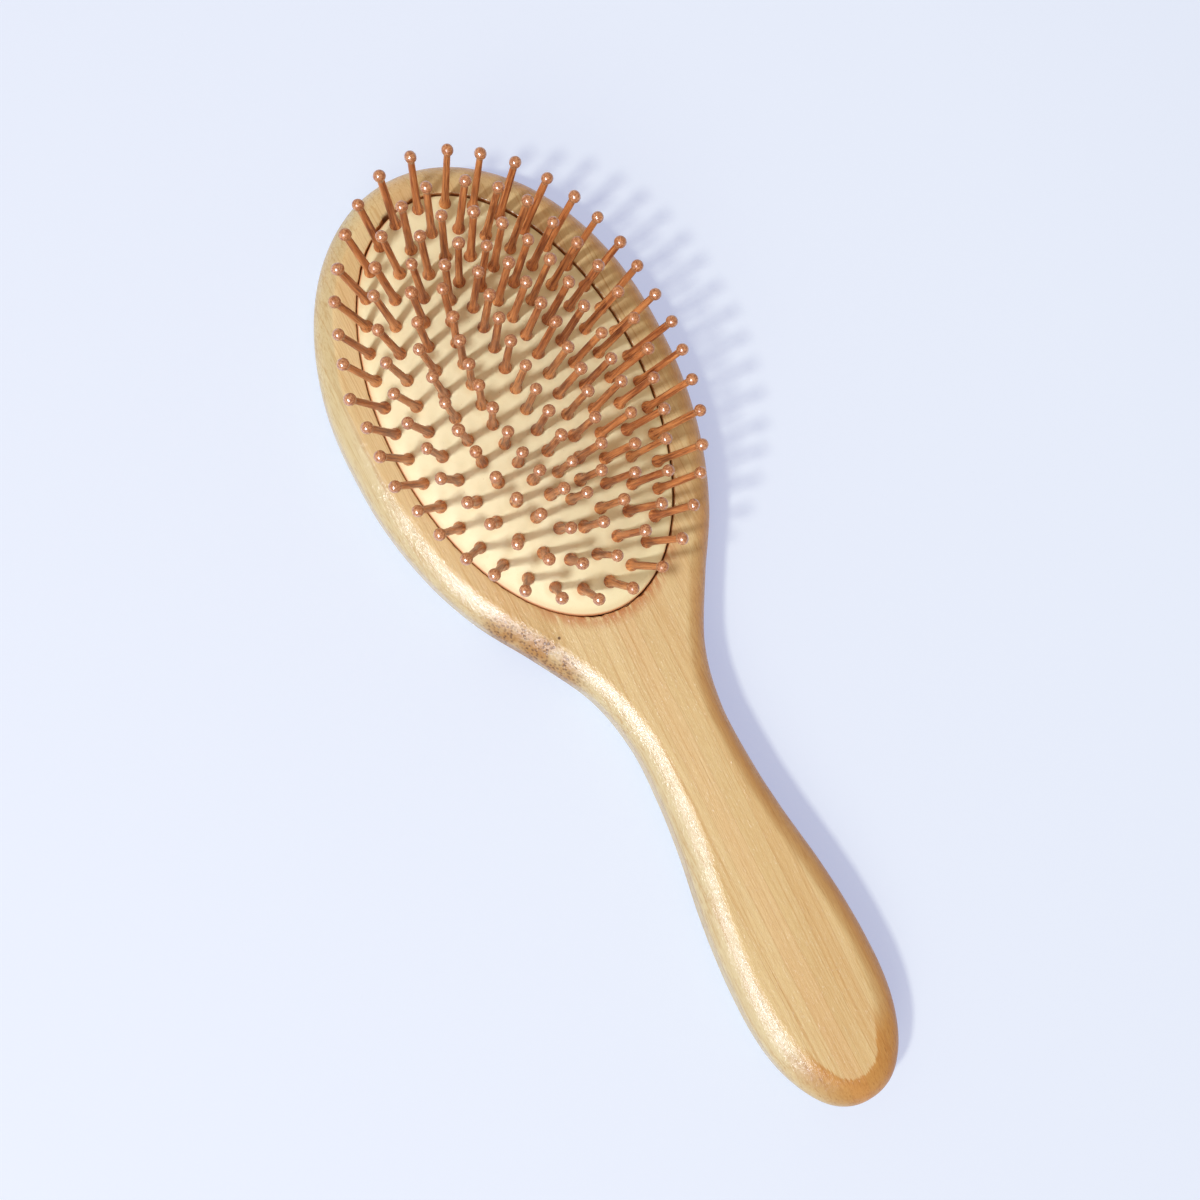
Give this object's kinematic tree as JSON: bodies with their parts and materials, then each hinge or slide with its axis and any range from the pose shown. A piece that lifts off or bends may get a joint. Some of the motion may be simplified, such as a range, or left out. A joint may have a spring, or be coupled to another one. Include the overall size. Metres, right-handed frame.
{
  "type": "paddle hairbrush",
  "caption": "Wide oval paddle hairbrush: flat bamboo head and shaped grip, air-filled rubber cushion let into the face, ball-tipped bamboo pins in ovals.",
  "frame": {"origin": "on the flat back face, under the middle of the cushion's oval", "axes": "+Z out of the face the pins stand on, +Y from the grip to the tip of the head, +X across the head"},
  "size_m": [0.084, 0.25, 0.0431],
  "materials": {
    "bamboo_face_ply": "satin lacquer",
    "bamboo_core_ply": "satin lacquer",
    "cushion_rubber": "matte",
    "bamboo_pin": "smooth turned"
  },
  "bodies": {
    "bamboo_body": {"back_ply": "bamboo_face_ply", "core_ply": "bamboo_core_ply", "front_ply": "bamboo_face_ply"},
    "air_cushion": {"rubber_cushion": "cushion_rubber"},
    "outer_ring_pins_01": {"outer_ring_pins_01": "bamboo_pin"},
    "outer_ring_pins_02": {"outer_ring_pins_02": "bamboo_pin"},
    "outer_ring_pins_03": {"outer_ring_pins_03": "bamboo_pin"},
    "outer_ring_pins_04": {"outer_ring_pins_04": "bamboo_pin"},
    "outer_ring_pins_05": {"outer_ring_pins_05": "bamboo_pin"},
    "outer_ring_pins_06": {"outer_ring_pins_06": "bamboo_pin"},
    "outer_ring_pins_07": {"outer_ring_pins_07": "bamboo_pin"},
    "outer_ring_pins_08": {"outer_ring_pins_08": "bamboo_pin"},
    "outer_ring_pins_09": {"outer_ring_pins_09": "bamboo_pin"},
    "outer_ring_pins_10": {"outer_ring_pins_10": "bamboo_pin"},
    "outer_ring_pins_11": {"outer_ring_pins_11": "bamboo_pin"},
    "outer_ring_pins_12": {"outer_ring_pins_12": "bamboo_pin"},
    "outer_ring_pins_13": {"outer_ring_pins_13": "bamboo_pin"},
    "outer_ring_pins_14": {"outer_ring_pins_14": "bamboo_pin"},
    "outer_ring_pins_15": {"outer_ring_pins_15": "bamboo_pin"},
    "outer_ring_pins_16": {"outer_ring_pins_16": "bamboo_pin"},
    "outer_ring_pins_17": {"outer_ring_pins_17": "bamboo_pin"},
    "outer_ring_pins_18": {"outer_ring_pins_18": "bamboo_pin"},
    "outer_ring_pins_19": {"outer_ring_pins_19": "bamboo_pin"},
    "second_ring_pins_01": {"second_ring_pins_01": "bamboo_pin"},
    "second_ring_pins_02": {"second_ring_pins_02": "bamboo_pin"},
    "second_ring_pins_03": {"second_ring_pins_03": "bamboo_pin"},
    "second_ring_pins_04": {"second_ring_pins_04": "bamboo_pin"},
    "second_ring_pins_05": {"second_ring_pins_05": "bamboo_pin"},
    "second_ring_pins_06": {"second_ring_pins_06": "bamboo_pin"},
    "second_ring_pins_07": {"second_ring_pins_07": "bamboo_pin"},
    "second_ring_pins_08": {"second_ring_pins_08": "bamboo_pin"},
    "second_ring_pins_09": {"second_ring_pins_09": "bamboo_pin"},
    "second_ring_pins_10": {"second_ring_pins_10": "bamboo_pin"},
    "second_ring_pins_11": {"second_ring_pins_11": "bamboo_pin"},
    "second_ring_pins_12": {"second_ring_pins_12": "bamboo_pin"},
    "second_ring_pins_13": {"second_ring_pins_13": "bamboo_pin"},
    "second_ring_pins_14": {"second_ring_pins_14": "bamboo_pin"},
    "second_ring_pins_15": {"second_ring_pins_15": "bamboo_pin"},
    "second_ring_pins_16": {"second_ring_pins_16": "bamboo_pin"},
    "third_ring_pins_01": {"third_ring_pins_01": "bamboo_pin"},
    "third_ring_pins_02": {"third_ring_pins_02": "bamboo_pin"},
    "third_ring_pins_03": {"third_ring_pins_03": "bamboo_pin"},
    "third_ring_pins_04": {"third_ring_pins_04": "bamboo_pin"},
    "third_ring_pins_05": {"third_ring_pins_05": "bamboo_pin"},
    "third_ring_pins_06": {"third_ring_pins_06": "bamboo_pin"},
    "third_ring_pins_07": {"third_ring_pins_07": "bamboo_pin"},
    "fourth_ring_pins_01": {"fourth_ring_pins_01": "bamboo_pin"},
    "fourth_ring_pins_02": {"fourth_ring_pins_02": "bamboo_pin"},
    "fourth_ring_pins_03": {"fourth_ring_pins_03": "bamboo_pin"},
    "fourth_ring_pins_04": {"fourth_ring_pins_04": "bamboo_pin"},
    "fourth_ring_pins_05": {"fourth_ring_pins_05": "bamboo_pin"},
    "fourth_ring_pins_06": {"fourth_ring_pins_06": "bamboo_pin"},
    "centre_row_pins_01": {"centre_row_pins_01": "bamboo_pin"},
    "centre_row_pins_02": {"centre_row_pins_02": "bamboo_pin"},
    "centre_row_pins_03": {"centre_row_pins_03": "bamboo_pin"}
  },
  "joints": [
    {"name": "cushion_press", "type": "slide", "parent": "bamboo_body", "child": "air_cushion", "axis": [0, 0, -1], "range_m": [0, 0.004], "stiffness_N_per_m": 2500, "deforming": ["rubber_cushion"]},
    {"name": "outer_ring_pins_01_tilt", "type": "hinge", "parent": "bamboo_body", "child": "outer_ring_pins_01", "pos_m": [0.00378, 0.05443, 0.01599], "axis": [0.9831, -0.1833, 0], "range_deg": [0, 8.87]},
    {"name": "outer_ring_pins_02_tilt", "type": "hinge", "parent": "bamboo_body", "child": "outer_ring_pins_02", "pos_m": [0.01646, 0.04722, 0.01603], "axis": [0.7232, -0.6906, 0], "range_deg": [0, 10.3]},
    {"name": "outer_ring_pins_03_tilt", "type": "hinge", "parent": "bamboo_body", "child": "outer_ring_pins_03", "pos_m": [0.02457, 0.03564, 0.01611], "axis": [0.4633, -0.8862, 0], "range_deg": [0, 11.91]},
    {"name": "outer_ring_pins_04_tilt", "type": "hinge", "parent": "bamboo_body", "child": "outer_ring_pins_04", "pos_m": [0.02945, 0.02261, 0.01621], "axis": [0.2658, -0.964, 0], "range_deg": [0, 12.95]},
    {"name": "outer_ring_pins_05_tilt", "type": "hinge", "parent": "bamboo_body", "child": "outer_ring_pins_05", "pos_m": [0.03192, 0.00898, 0.01633], "axis": [0.1008, -0.9949, 0], "range_deg": [0, 13.4]},
    {"name": "outer_ring_pins_06_tilt", "type": "hinge", "parent": "bamboo_body", "child": "outer_ring_pins_06", "pos_m": [0.03228, -0.00488, 0.01646], "axis": [-0.0547, -0.9985, 0], "range_deg": [0, 13.31]},
    {"name": "outer_ring_pins_07_tilt", "type": "hinge", "parent": "bamboo_body", "child": "outer_ring_pins_07", "pos_m": [0.03057, -0.01875, 0.0166], "axis": [-0.22, -0.9755, 0], "range_deg": [0, 12.67]},
    {"name": "outer_ring_pins_08_tilt", "type": "hinge", "parent": "bamboo_body", "child": "outer_ring_pins_08", "pos_m": [0.02645, -0.03239, 0.01674], "axis": [-0.4196, -0.9077, 0], "range_deg": [0, 11.44]},
    {"name": "outer_ring_pins_09_tilt", "type": "hinge", "parent": "bamboo_body", "child": "outer_ring_pins_09", "pos_m": [0.01888, -0.04536, 0.01688], "axis": [-0.6906, -0.7232, 0], "range_deg": [0, 9.62]},
    {"name": "outer_ring_pins_10_tilt", "type": "hinge", "parent": "bamboo_body", "child": "outer_ring_pins_10", "pos_m": [0.00471, -0.05482, 0.01696], "axis": [-0.9802, -0.1981, 0], "range_deg": [0, 8.02]},
    {"name": "outer_ring_pins_11_tilt", "type": "hinge", "parent": "bamboo_body", "child": "outer_ring_pins_11", "pos_m": [-0.01288, -0.05104, 0.01693], "axis": [-0.8529, 0.5221, 0], "range_deg": [0, 8.66]},
    {"name": "outer_ring_pins_12_tilt", "type": "hinge", "parent": "bamboo_body", "child": "outer_ring_pins_12", "pos_m": [-0.02323, -0.03901, 0.01681], "axis": [-0.5438, 0.8392, 0], "range_deg": [0, 10.59]},
    {"name": "outer_ring_pins_13_tilt", "type": "hinge", "parent": "bamboo_body", "child": "outer_ring_pins_13", "pos_m": [-0.02885, -0.02561, 0.01667], "axis": [-0.3135, 0.9496, 0], "range_deg": [0, 12.13]},
    {"name": "outer_ring_pins_14_tilt", "type": "hinge", "parent": "bamboo_body", "child": "outer_ring_pins_14", "pos_m": [-0.0317, -0.01183, 0.01653], "axis": [-0.1348, 0.9909, 0], "range_deg": [0, 13.06]},
    {"name": "outer_ring_pins_15_tilt", "type": "hinge", "parent": "bamboo_body", "child": "outer_ring_pins_15", "pos_m": [-0.03236, 0.00206, 0.01639], "axis": [0.023, 0.9997, 0], "range_deg": [0, 13.42]},
    {"name": "outer_ring_pins_16_tilt", "type": "hinge", "parent": "bamboo_body", "child": "outer_ring_pins_16", "pos_m": [-0.03096, 0.01584, 0.01627], "axis": [0.1808, 0.9835, 0], "range_deg": [0, 13.24]},
    {"name": "outer_ring_pins_17_tilt", "type": "hinge", "parent": "bamboo_body", "child": "outer_ring_pins_17", "pos_m": [-0.02735, 0.02923, 0.01616], "axis": [0.3587, 0.9335, 0], "range_deg": [0, 12.5]},
    {"name": "outer_ring_pins_18_tilt", "type": "hinge", "parent": "bamboo_body", "child": "outer_ring_pins_18", "pos_m": [-0.021, 0.04171, 0.01607], "axis": [0.584, 0.8118, 0], "range_deg": [0, 11.16]},
    {"name": "outer_ring_pins_19_tilt", "type": "hinge", "parent": "bamboo_body", "child": "outer_ring_pins_19", "pos_m": [-0.01074, 0.05172, 0.016], "axis": [0.8715, 0.4903, 0], "range_deg": [0, 9.45]},
    {"name": "second_ring_pins_01_tilt", "type": "hinge", "parent": "bamboo_body", "child": "second_ring_pins_01", "pos_m": [0.00549, 0.05554, 0.01769], "axis": [0.9787, -0.2051, 0], "range_deg": [0, 7.34]},
    {"name": "second_ring_pins_02_tilt", "type": "hinge", "parent": "bamboo_body", "child": "second_ring_pins_02", "pos_m": [0.02163, 0.0444, 0.01802], "axis": [0.6824, -0.731, 0], "range_deg": [0, 8.39]},
    {"name": "second_ring_pins_03_tilt", "type": "hinge", "parent": "bamboo_body", "child": "second_ring_pins_03", "pos_m": [0.02981, 0.02954, 0.01843], "axis": [0.4034, -0.915, 0], "range_deg": [0, 9.37]},
    {"name": "second_ring_pins_04_tilt", "type": "hinge", "parent": "bamboo_body", "child": "second_ring_pins_04", "pos_m": [0.03393, 0.01412, 0.01873], "axis": [0.1811, -0.9835, 0], "range_deg": [0, 9.85]},
    {"name": "second_ring_pins_05_tilt", "type": "hinge", "parent": "bamboo_body", "child": "second_ring_pins_05", "pos_m": [0.03519, -0.00157, 0.01889], "axis": [-0.0198, -0.9998, 0], "range_deg": [0, 9.87]},
    {"name": "second_ring_pins_06_tilt", "type": "hinge", "parent": "bamboo_body", "child": "second_ring_pins_06", "pos_m": [0.03379, -0.01749, 0.01889], "axis": [-0.229, -0.9734, 0], "range_deg": [0, 9.44]},
    {"name": "second_ring_pins_07_tilt", "type": "hinge", "parent": "bamboo_body", "child": "second_ring_pins_07", "pos_m": [0.02912, -0.03381, 0.01876], "axis": [-0.4815, -0.8765, 0], "range_deg": [0, 8.51]},
    {"name": "second_ring_pins_08_tilt", "type": "hinge", "parent": "bamboo_body", "child": "second_ring_pins_08", "pos_m": [0.01796, -0.05049, 0.01855], "axis": [-0.8203, -0.572, 0], "range_deg": [0, 7.14]},
    {"name": "second_ring_pins_09_tilt", "type": "hinge", "parent": "bamboo_body", "child": "second_ring_pins_09", "pos_m": [-0.00693, -0.05677, 0.01847], "axis": [-0.9745, 0.2244, 0], "range_deg": [0, 6.61]},
    {"name": "second_ring_pins_10_tilt", "type": "hinge", "parent": "bamboo_body", "child": "second_ring_pins_10", "pos_m": [-0.02481, -0.04221, 0.01866], "axis": [-0.6395, 0.7688, 0], "range_deg": [0, 7.86]},
    {"name": "second_ring_pins_11_tilt", "type": "hinge", "parent": "bamboo_body", "child": "second_ring_pins_11", "pos_m": [-0.03196, -0.02558, 0.01884], "axis": [-0.3469, 0.9379, 0], "range_deg": [0, 9.04]},
    {"name": "second_ring_pins_12_tilt", "type": "hinge", "parent": "bamboo_body", "child": "second_ring_pins_12", "pos_m": [-0.03484, -0.00949, 0.01891], "axis": [-0.1215, 0.9926, 0], "range_deg": [0, 9.71]},
    {"name": "second_ring_pins_13_tilt", "type": "hinge", "parent": "bamboo_body", "child": "second_ring_pins_13", "pos_m": [-0.03489, 0.0063, 0.01883], "axis": [0.0799, 0.9968, 0], "range_deg": [0, 9.92]},
    {"name": "second_ring_pins_14_tilt", "type": "hinge", "parent": "bamboo_body", "child": "second_ring_pins_14", "pos_m": [-0.03227, 0.02187, 0.0186], "axis": [0.2876, 0.9578, 0], "range_deg": [0, 9.67]},
    {"name": "second_ring_pins_15_tilt", "type": "hinge", "parent": "bamboo_body", "child": "second_ring_pins_15", "pos_m": [-0.02638, 0.0371, 0.01824], "axis": [0.5335, 0.8458, 0], "range_deg": [0, 8.94]},
    {"name": "second_ring_pins_16_tilt", "type": "hinge", "parent": "bamboo_body", "child": "second_ring_pins_16", "pos_m": [-0.01491, 0.05103, 0.01782], "axis": [0.8461, 0.5331, 0], "range_deg": [0, 7.79]},
    {"name": "third_ring_pins_01_tilt", "type": "hinge", "parent": "bamboo_body", "child": "third_ring_pins_01", "pos_m": [0.01856, 0.05268, 0.01938], "axis": [0.8583, -0.5132, 0], "range_deg": [0, 6.15]},
    {"name": "third_ring_pins_02_tilt", "type": "hinge", "parent": "bamboo_body", "child": "third_ring_pins_02", "pos_m": [0.04056, 0.01744, 0.02037], "axis": [0.2429, -0.97, 0], "range_deg": [0, 6.72]},
    {"name": "third_ring_pins_03_tilt", "type": "hinge", "parent": "bamboo_body", "child": "third_ring_pins_03", "pos_m": [0.04077, -0.02142, 0.02045], "axis": [-0.3006, -0.9538, 0], "range_deg": [0, 6.41]},
    {"name": "third_ring_pins_04_tilt", "type": "hinge", "parent": "bamboo_body", "child": "third_ring_pins_04", "pos_m": [0.00851, -0.05972, 0.0198], "axis": [-0.977, -0.2131, 0], "range_deg": [0, 5.42]},
    {"name": "third_ring_pins_05_tilt", "type": "hinge", "parent": "bamboo_body", "child": "third_ring_pins_05", "pos_m": [-0.03762, -0.03172, 0.0203], "axis": [-0.4567, 0.8896, 0], "range_deg": [0, 6.18]},
    {"name": "third_ring_pins_06_tilt", "type": "hinge", "parent": "bamboo_body", "child": "third_ring_pins_06", "pos_m": [-0.04223, 0.00798, 0.02049], "axis": [0.1098, 0.994, 0], "range_deg": [0, 6.73]},
    {"name": "third_ring_pins_07_tilt", "type": "hinge", "parent": "bamboo_body", "child": "third_ring_pins_07", "pos_m": [-0.02747, 0.04479, 0.01965], "axis": [0.6895, 0.7243, 0], "range_deg": [0, 6.34]},
    {"name": "fourth_ring_pins_01_sink", "type": "slide", "parent": "bamboo_body", "child": "fourth_ring_pins_01", "axis": [0, 0, -1], "range_m": [0, 0.00319]},
    {"name": "fourth_ring_pins_02_sink", "type": "slide", "parent": "bamboo_body", "child": "fourth_ring_pins_02", "axis": [0, 0, -1], "range_m": [0, 0.00376]},
    {"name": "fourth_ring_pins_03_sink", "type": "slide", "parent": "bamboo_body", "child": "fourth_ring_pins_03", "axis": [0, 0, -1], "range_m": [0, 0.00357]},
    {"name": "fourth_ring_pins_04_sink", "type": "slide", "parent": "bamboo_body", "child": "fourth_ring_pins_04", "axis": [0, 0, -1], "range_m": [0, 0.00342]},
    {"name": "fourth_ring_pins_05_sink", "type": "slide", "parent": "bamboo_body", "child": "fourth_ring_pins_05", "axis": [0, 0, -1], "range_m": [0, 0.00379]},
    {"name": "fourth_ring_pins_06_sink", "type": "slide", "parent": "bamboo_body", "child": "fourth_ring_pins_06", "axis": [0, 0, -1], "range_m": [0, 0.00338]},
    {"name": "centre_row_pins_01_sink", "type": "slide", "parent": "bamboo_body", "child": "centre_row_pins_01", "axis": [0, 0, -1], "range_m": [0, 0.00365]},
    {"name": "centre_row_pins_02_sink", "type": "slide", "parent": "bamboo_body", "child": "centre_row_pins_02", "axis": [0, 0, -1], "range_m": [0, 0.00407]},
    {"name": "centre_row_pins_03_sink", "type": "slide", "parent": "bamboo_body", "child": "centre_row_pins_03", "axis": [0, 0, -1], "range_m": [0, 0.00382]}
  ],
  "couplings": [
    {"joint": "outer_ring_pins_01_tilt", "follows": "cushion_press", "rad_per_m": 37.529},
    {"joint": "outer_ring_pins_02_tilt", "follows": "cushion_press", "rad_per_m": 43.618},
    {"joint": "outer_ring_pins_03_tilt", "follows": "cushion_press", "rad_per_m": 50.505},
    {"joint": "outer_ring_pins_04_tilt", "follows": "cushion_press", "rad_per_m": 54.95},
    {"joint": "outer_ring_pins_05_tilt", "follows": "cushion_press", "rad_per_m": 56.88},
    {"joint": "outer_ring_pins_06_tilt", "follows": "cushion_press", "rad_per_m": 56.49},
    {"joint": "outer_ring_pins_07_tilt", "follows": "cushion_press", "rad_per_m": 53.77},
    {"joint": "outer_ring_pins_08_tilt", "follows": "cushion_press", "rad_per_m": 48.496},
    {"joint": "outer_ring_pins_09_tilt", "follows": "cushion_press", "rad_per_m": 40.716},
    {"joint": "outer_ring_pins_10_tilt", "follows": "cushion_press", "rad_per_m": 33.888},
    {"joint": "outer_ring_pins_11_tilt", "follows": "cushion_press", "rad_per_m": 36.634},
    {"joint": "outer_ring_pins_12_tilt", "follows": "cushion_press", "rad_per_m": 44.859},
    {"joint": "outer_ring_pins_13_tilt", "follows": "cushion_press", "rad_per_m": 51.469},
    {"joint": "outer_ring_pins_14_tilt", "follows": "cushion_press", "rad_per_m": 55.432},
    {"joint": "outer_ring_pins_15_tilt", "follows": "cushion_press", "rad_per_m": 56.97},
    {"joint": "outer_ring_pins_16_tilt", "follows": "cushion_press", "rad_per_m": 56.214},
    {"joint": "outer_ring_pins_17_tilt", "follows": "cushion_press", "rad_per_m": 53.057},
    {"joint": "outer_ring_pins_18_tilt", "follows": "cushion_press", "rad_per_m": 47.307},
    {"joint": "outer_ring_pins_19_tilt", "follows": "cushion_press", "rad_per_m": 39.974},
    {"joint": "second_ring_pins_01_tilt", "follows": "cushion_press", "rad_per_m": 30.986},
    {"joint": "second_ring_pins_02_tilt", "follows": "cushion_press", "rad_per_m": 35.471},
    {"joint": "second_ring_pins_03_tilt", "follows": "cushion_press", "rad_per_m": 39.631},
    {"joint": "second_ring_pins_04_tilt", "follows": "cushion_press", "rad_per_m": 41.701},
    {"joint": "second_ring_pins_05_tilt", "follows": "cushion_press", "rad_per_m": 41.801},
    {"joint": "second_ring_pins_06_tilt", "follows": "cushion_press", "rad_per_m": 39.961},
    {"joint": "second_ring_pins_07_tilt", "follows": "cushion_press", "rad_per_m": 35.986},
    {"joint": "second_ring_pins_08_tilt", "follows": "cushion_press", "rad_per_m": 30.112},
    {"joint": "second_ring_pins_09_tilt", "follows": "cushion_press", "rad_per_m": 27.831},
    {"joint": "second_ring_pins_10_tilt", "follows": "cushion_press", "rad_per_m": 33.175},
    {"joint": "second_ring_pins_11_tilt", "follows": "cushion_press", "rad_per_m": 38.257},
    {"joint": "second_ring_pins_12_tilt", "follows": "cushion_press", "rad_per_m": 41.132},
    {"joint": "second_ring_pins_13_tilt", "follows": "cushion_press", "rad_per_m": 41.99},
    {"joint": "second_ring_pins_14_tilt", "follows": "cushion_press", "rad_per_m": 40.923},
    {"joint": "second_ring_pins_15_tilt", "follows": "cushion_press", "rad_per_m": 37.803},
    {"joint": "second_ring_pins_16_tilt", "follows": "cushion_press", "rad_per_m": 32.901},
    {"joint": "third_ring_pins_01_tilt", "follows": "cushion_press", "rad_per_m": 25.894},
    {"joint": "third_ring_pins_02_tilt", "follows": "cushion_press", "rad_per_m": 28.307},
    {"joint": "third_ring_pins_03_tilt", "follows": "cushion_press", "rad_per_m": 26.988},
    {"joint": "third_ring_pins_04_tilt", "follows": "cushion_press", "rad_per_m": 22.779},
    {"joint": "third_ring_pins_05_tilt", "follows": "cushion_press", "rad_per_m": 26},
    {"joint": "third_ring_pins_06_tilt", "follows": "cushion_press", "rad_per_m": 28.354},
    {"joint": "third_ring_pins_07_tilt", "follows": "cushion_press", "rad_per_m": 26.707},
    {"joint": "fourth_ring_pins_01_sink", "follows": "cushion_press", "ratio": 0.77686},
    {"joint": "fourth_ring_pins_02_sink", "follows": "cushion_press", "ratio": 0.91632},
    {"joint": "fourth_ring_pins_03_sink", "follows": "cushion_press", "ratio": 0.86929},
    {"joint": "fourth_ring_pins_04_sink", "follows": "cushion_press", "ratio": 0.83408},
    {"joint": "fourth_ring_pins_05_sink", "follows": "cushion_press", "ratio": 0.92279},
    {"joint": "fourth_ring_pins_06_sink", "follows": "cushion_press", "ratio": 0.8239},
    {"joint": "centre_row_pins_01_sink", "follows": "cushion_press", "ratio": 0.89052},
    {"joint": "centre_row_pins_02_sink", "follows": "cushion_press", "ratio": 0.99279},
    {"joint": "centre_row_pins_03_sink", "follows": "cushion_press", "ratio": 0.93068}
  ]
}
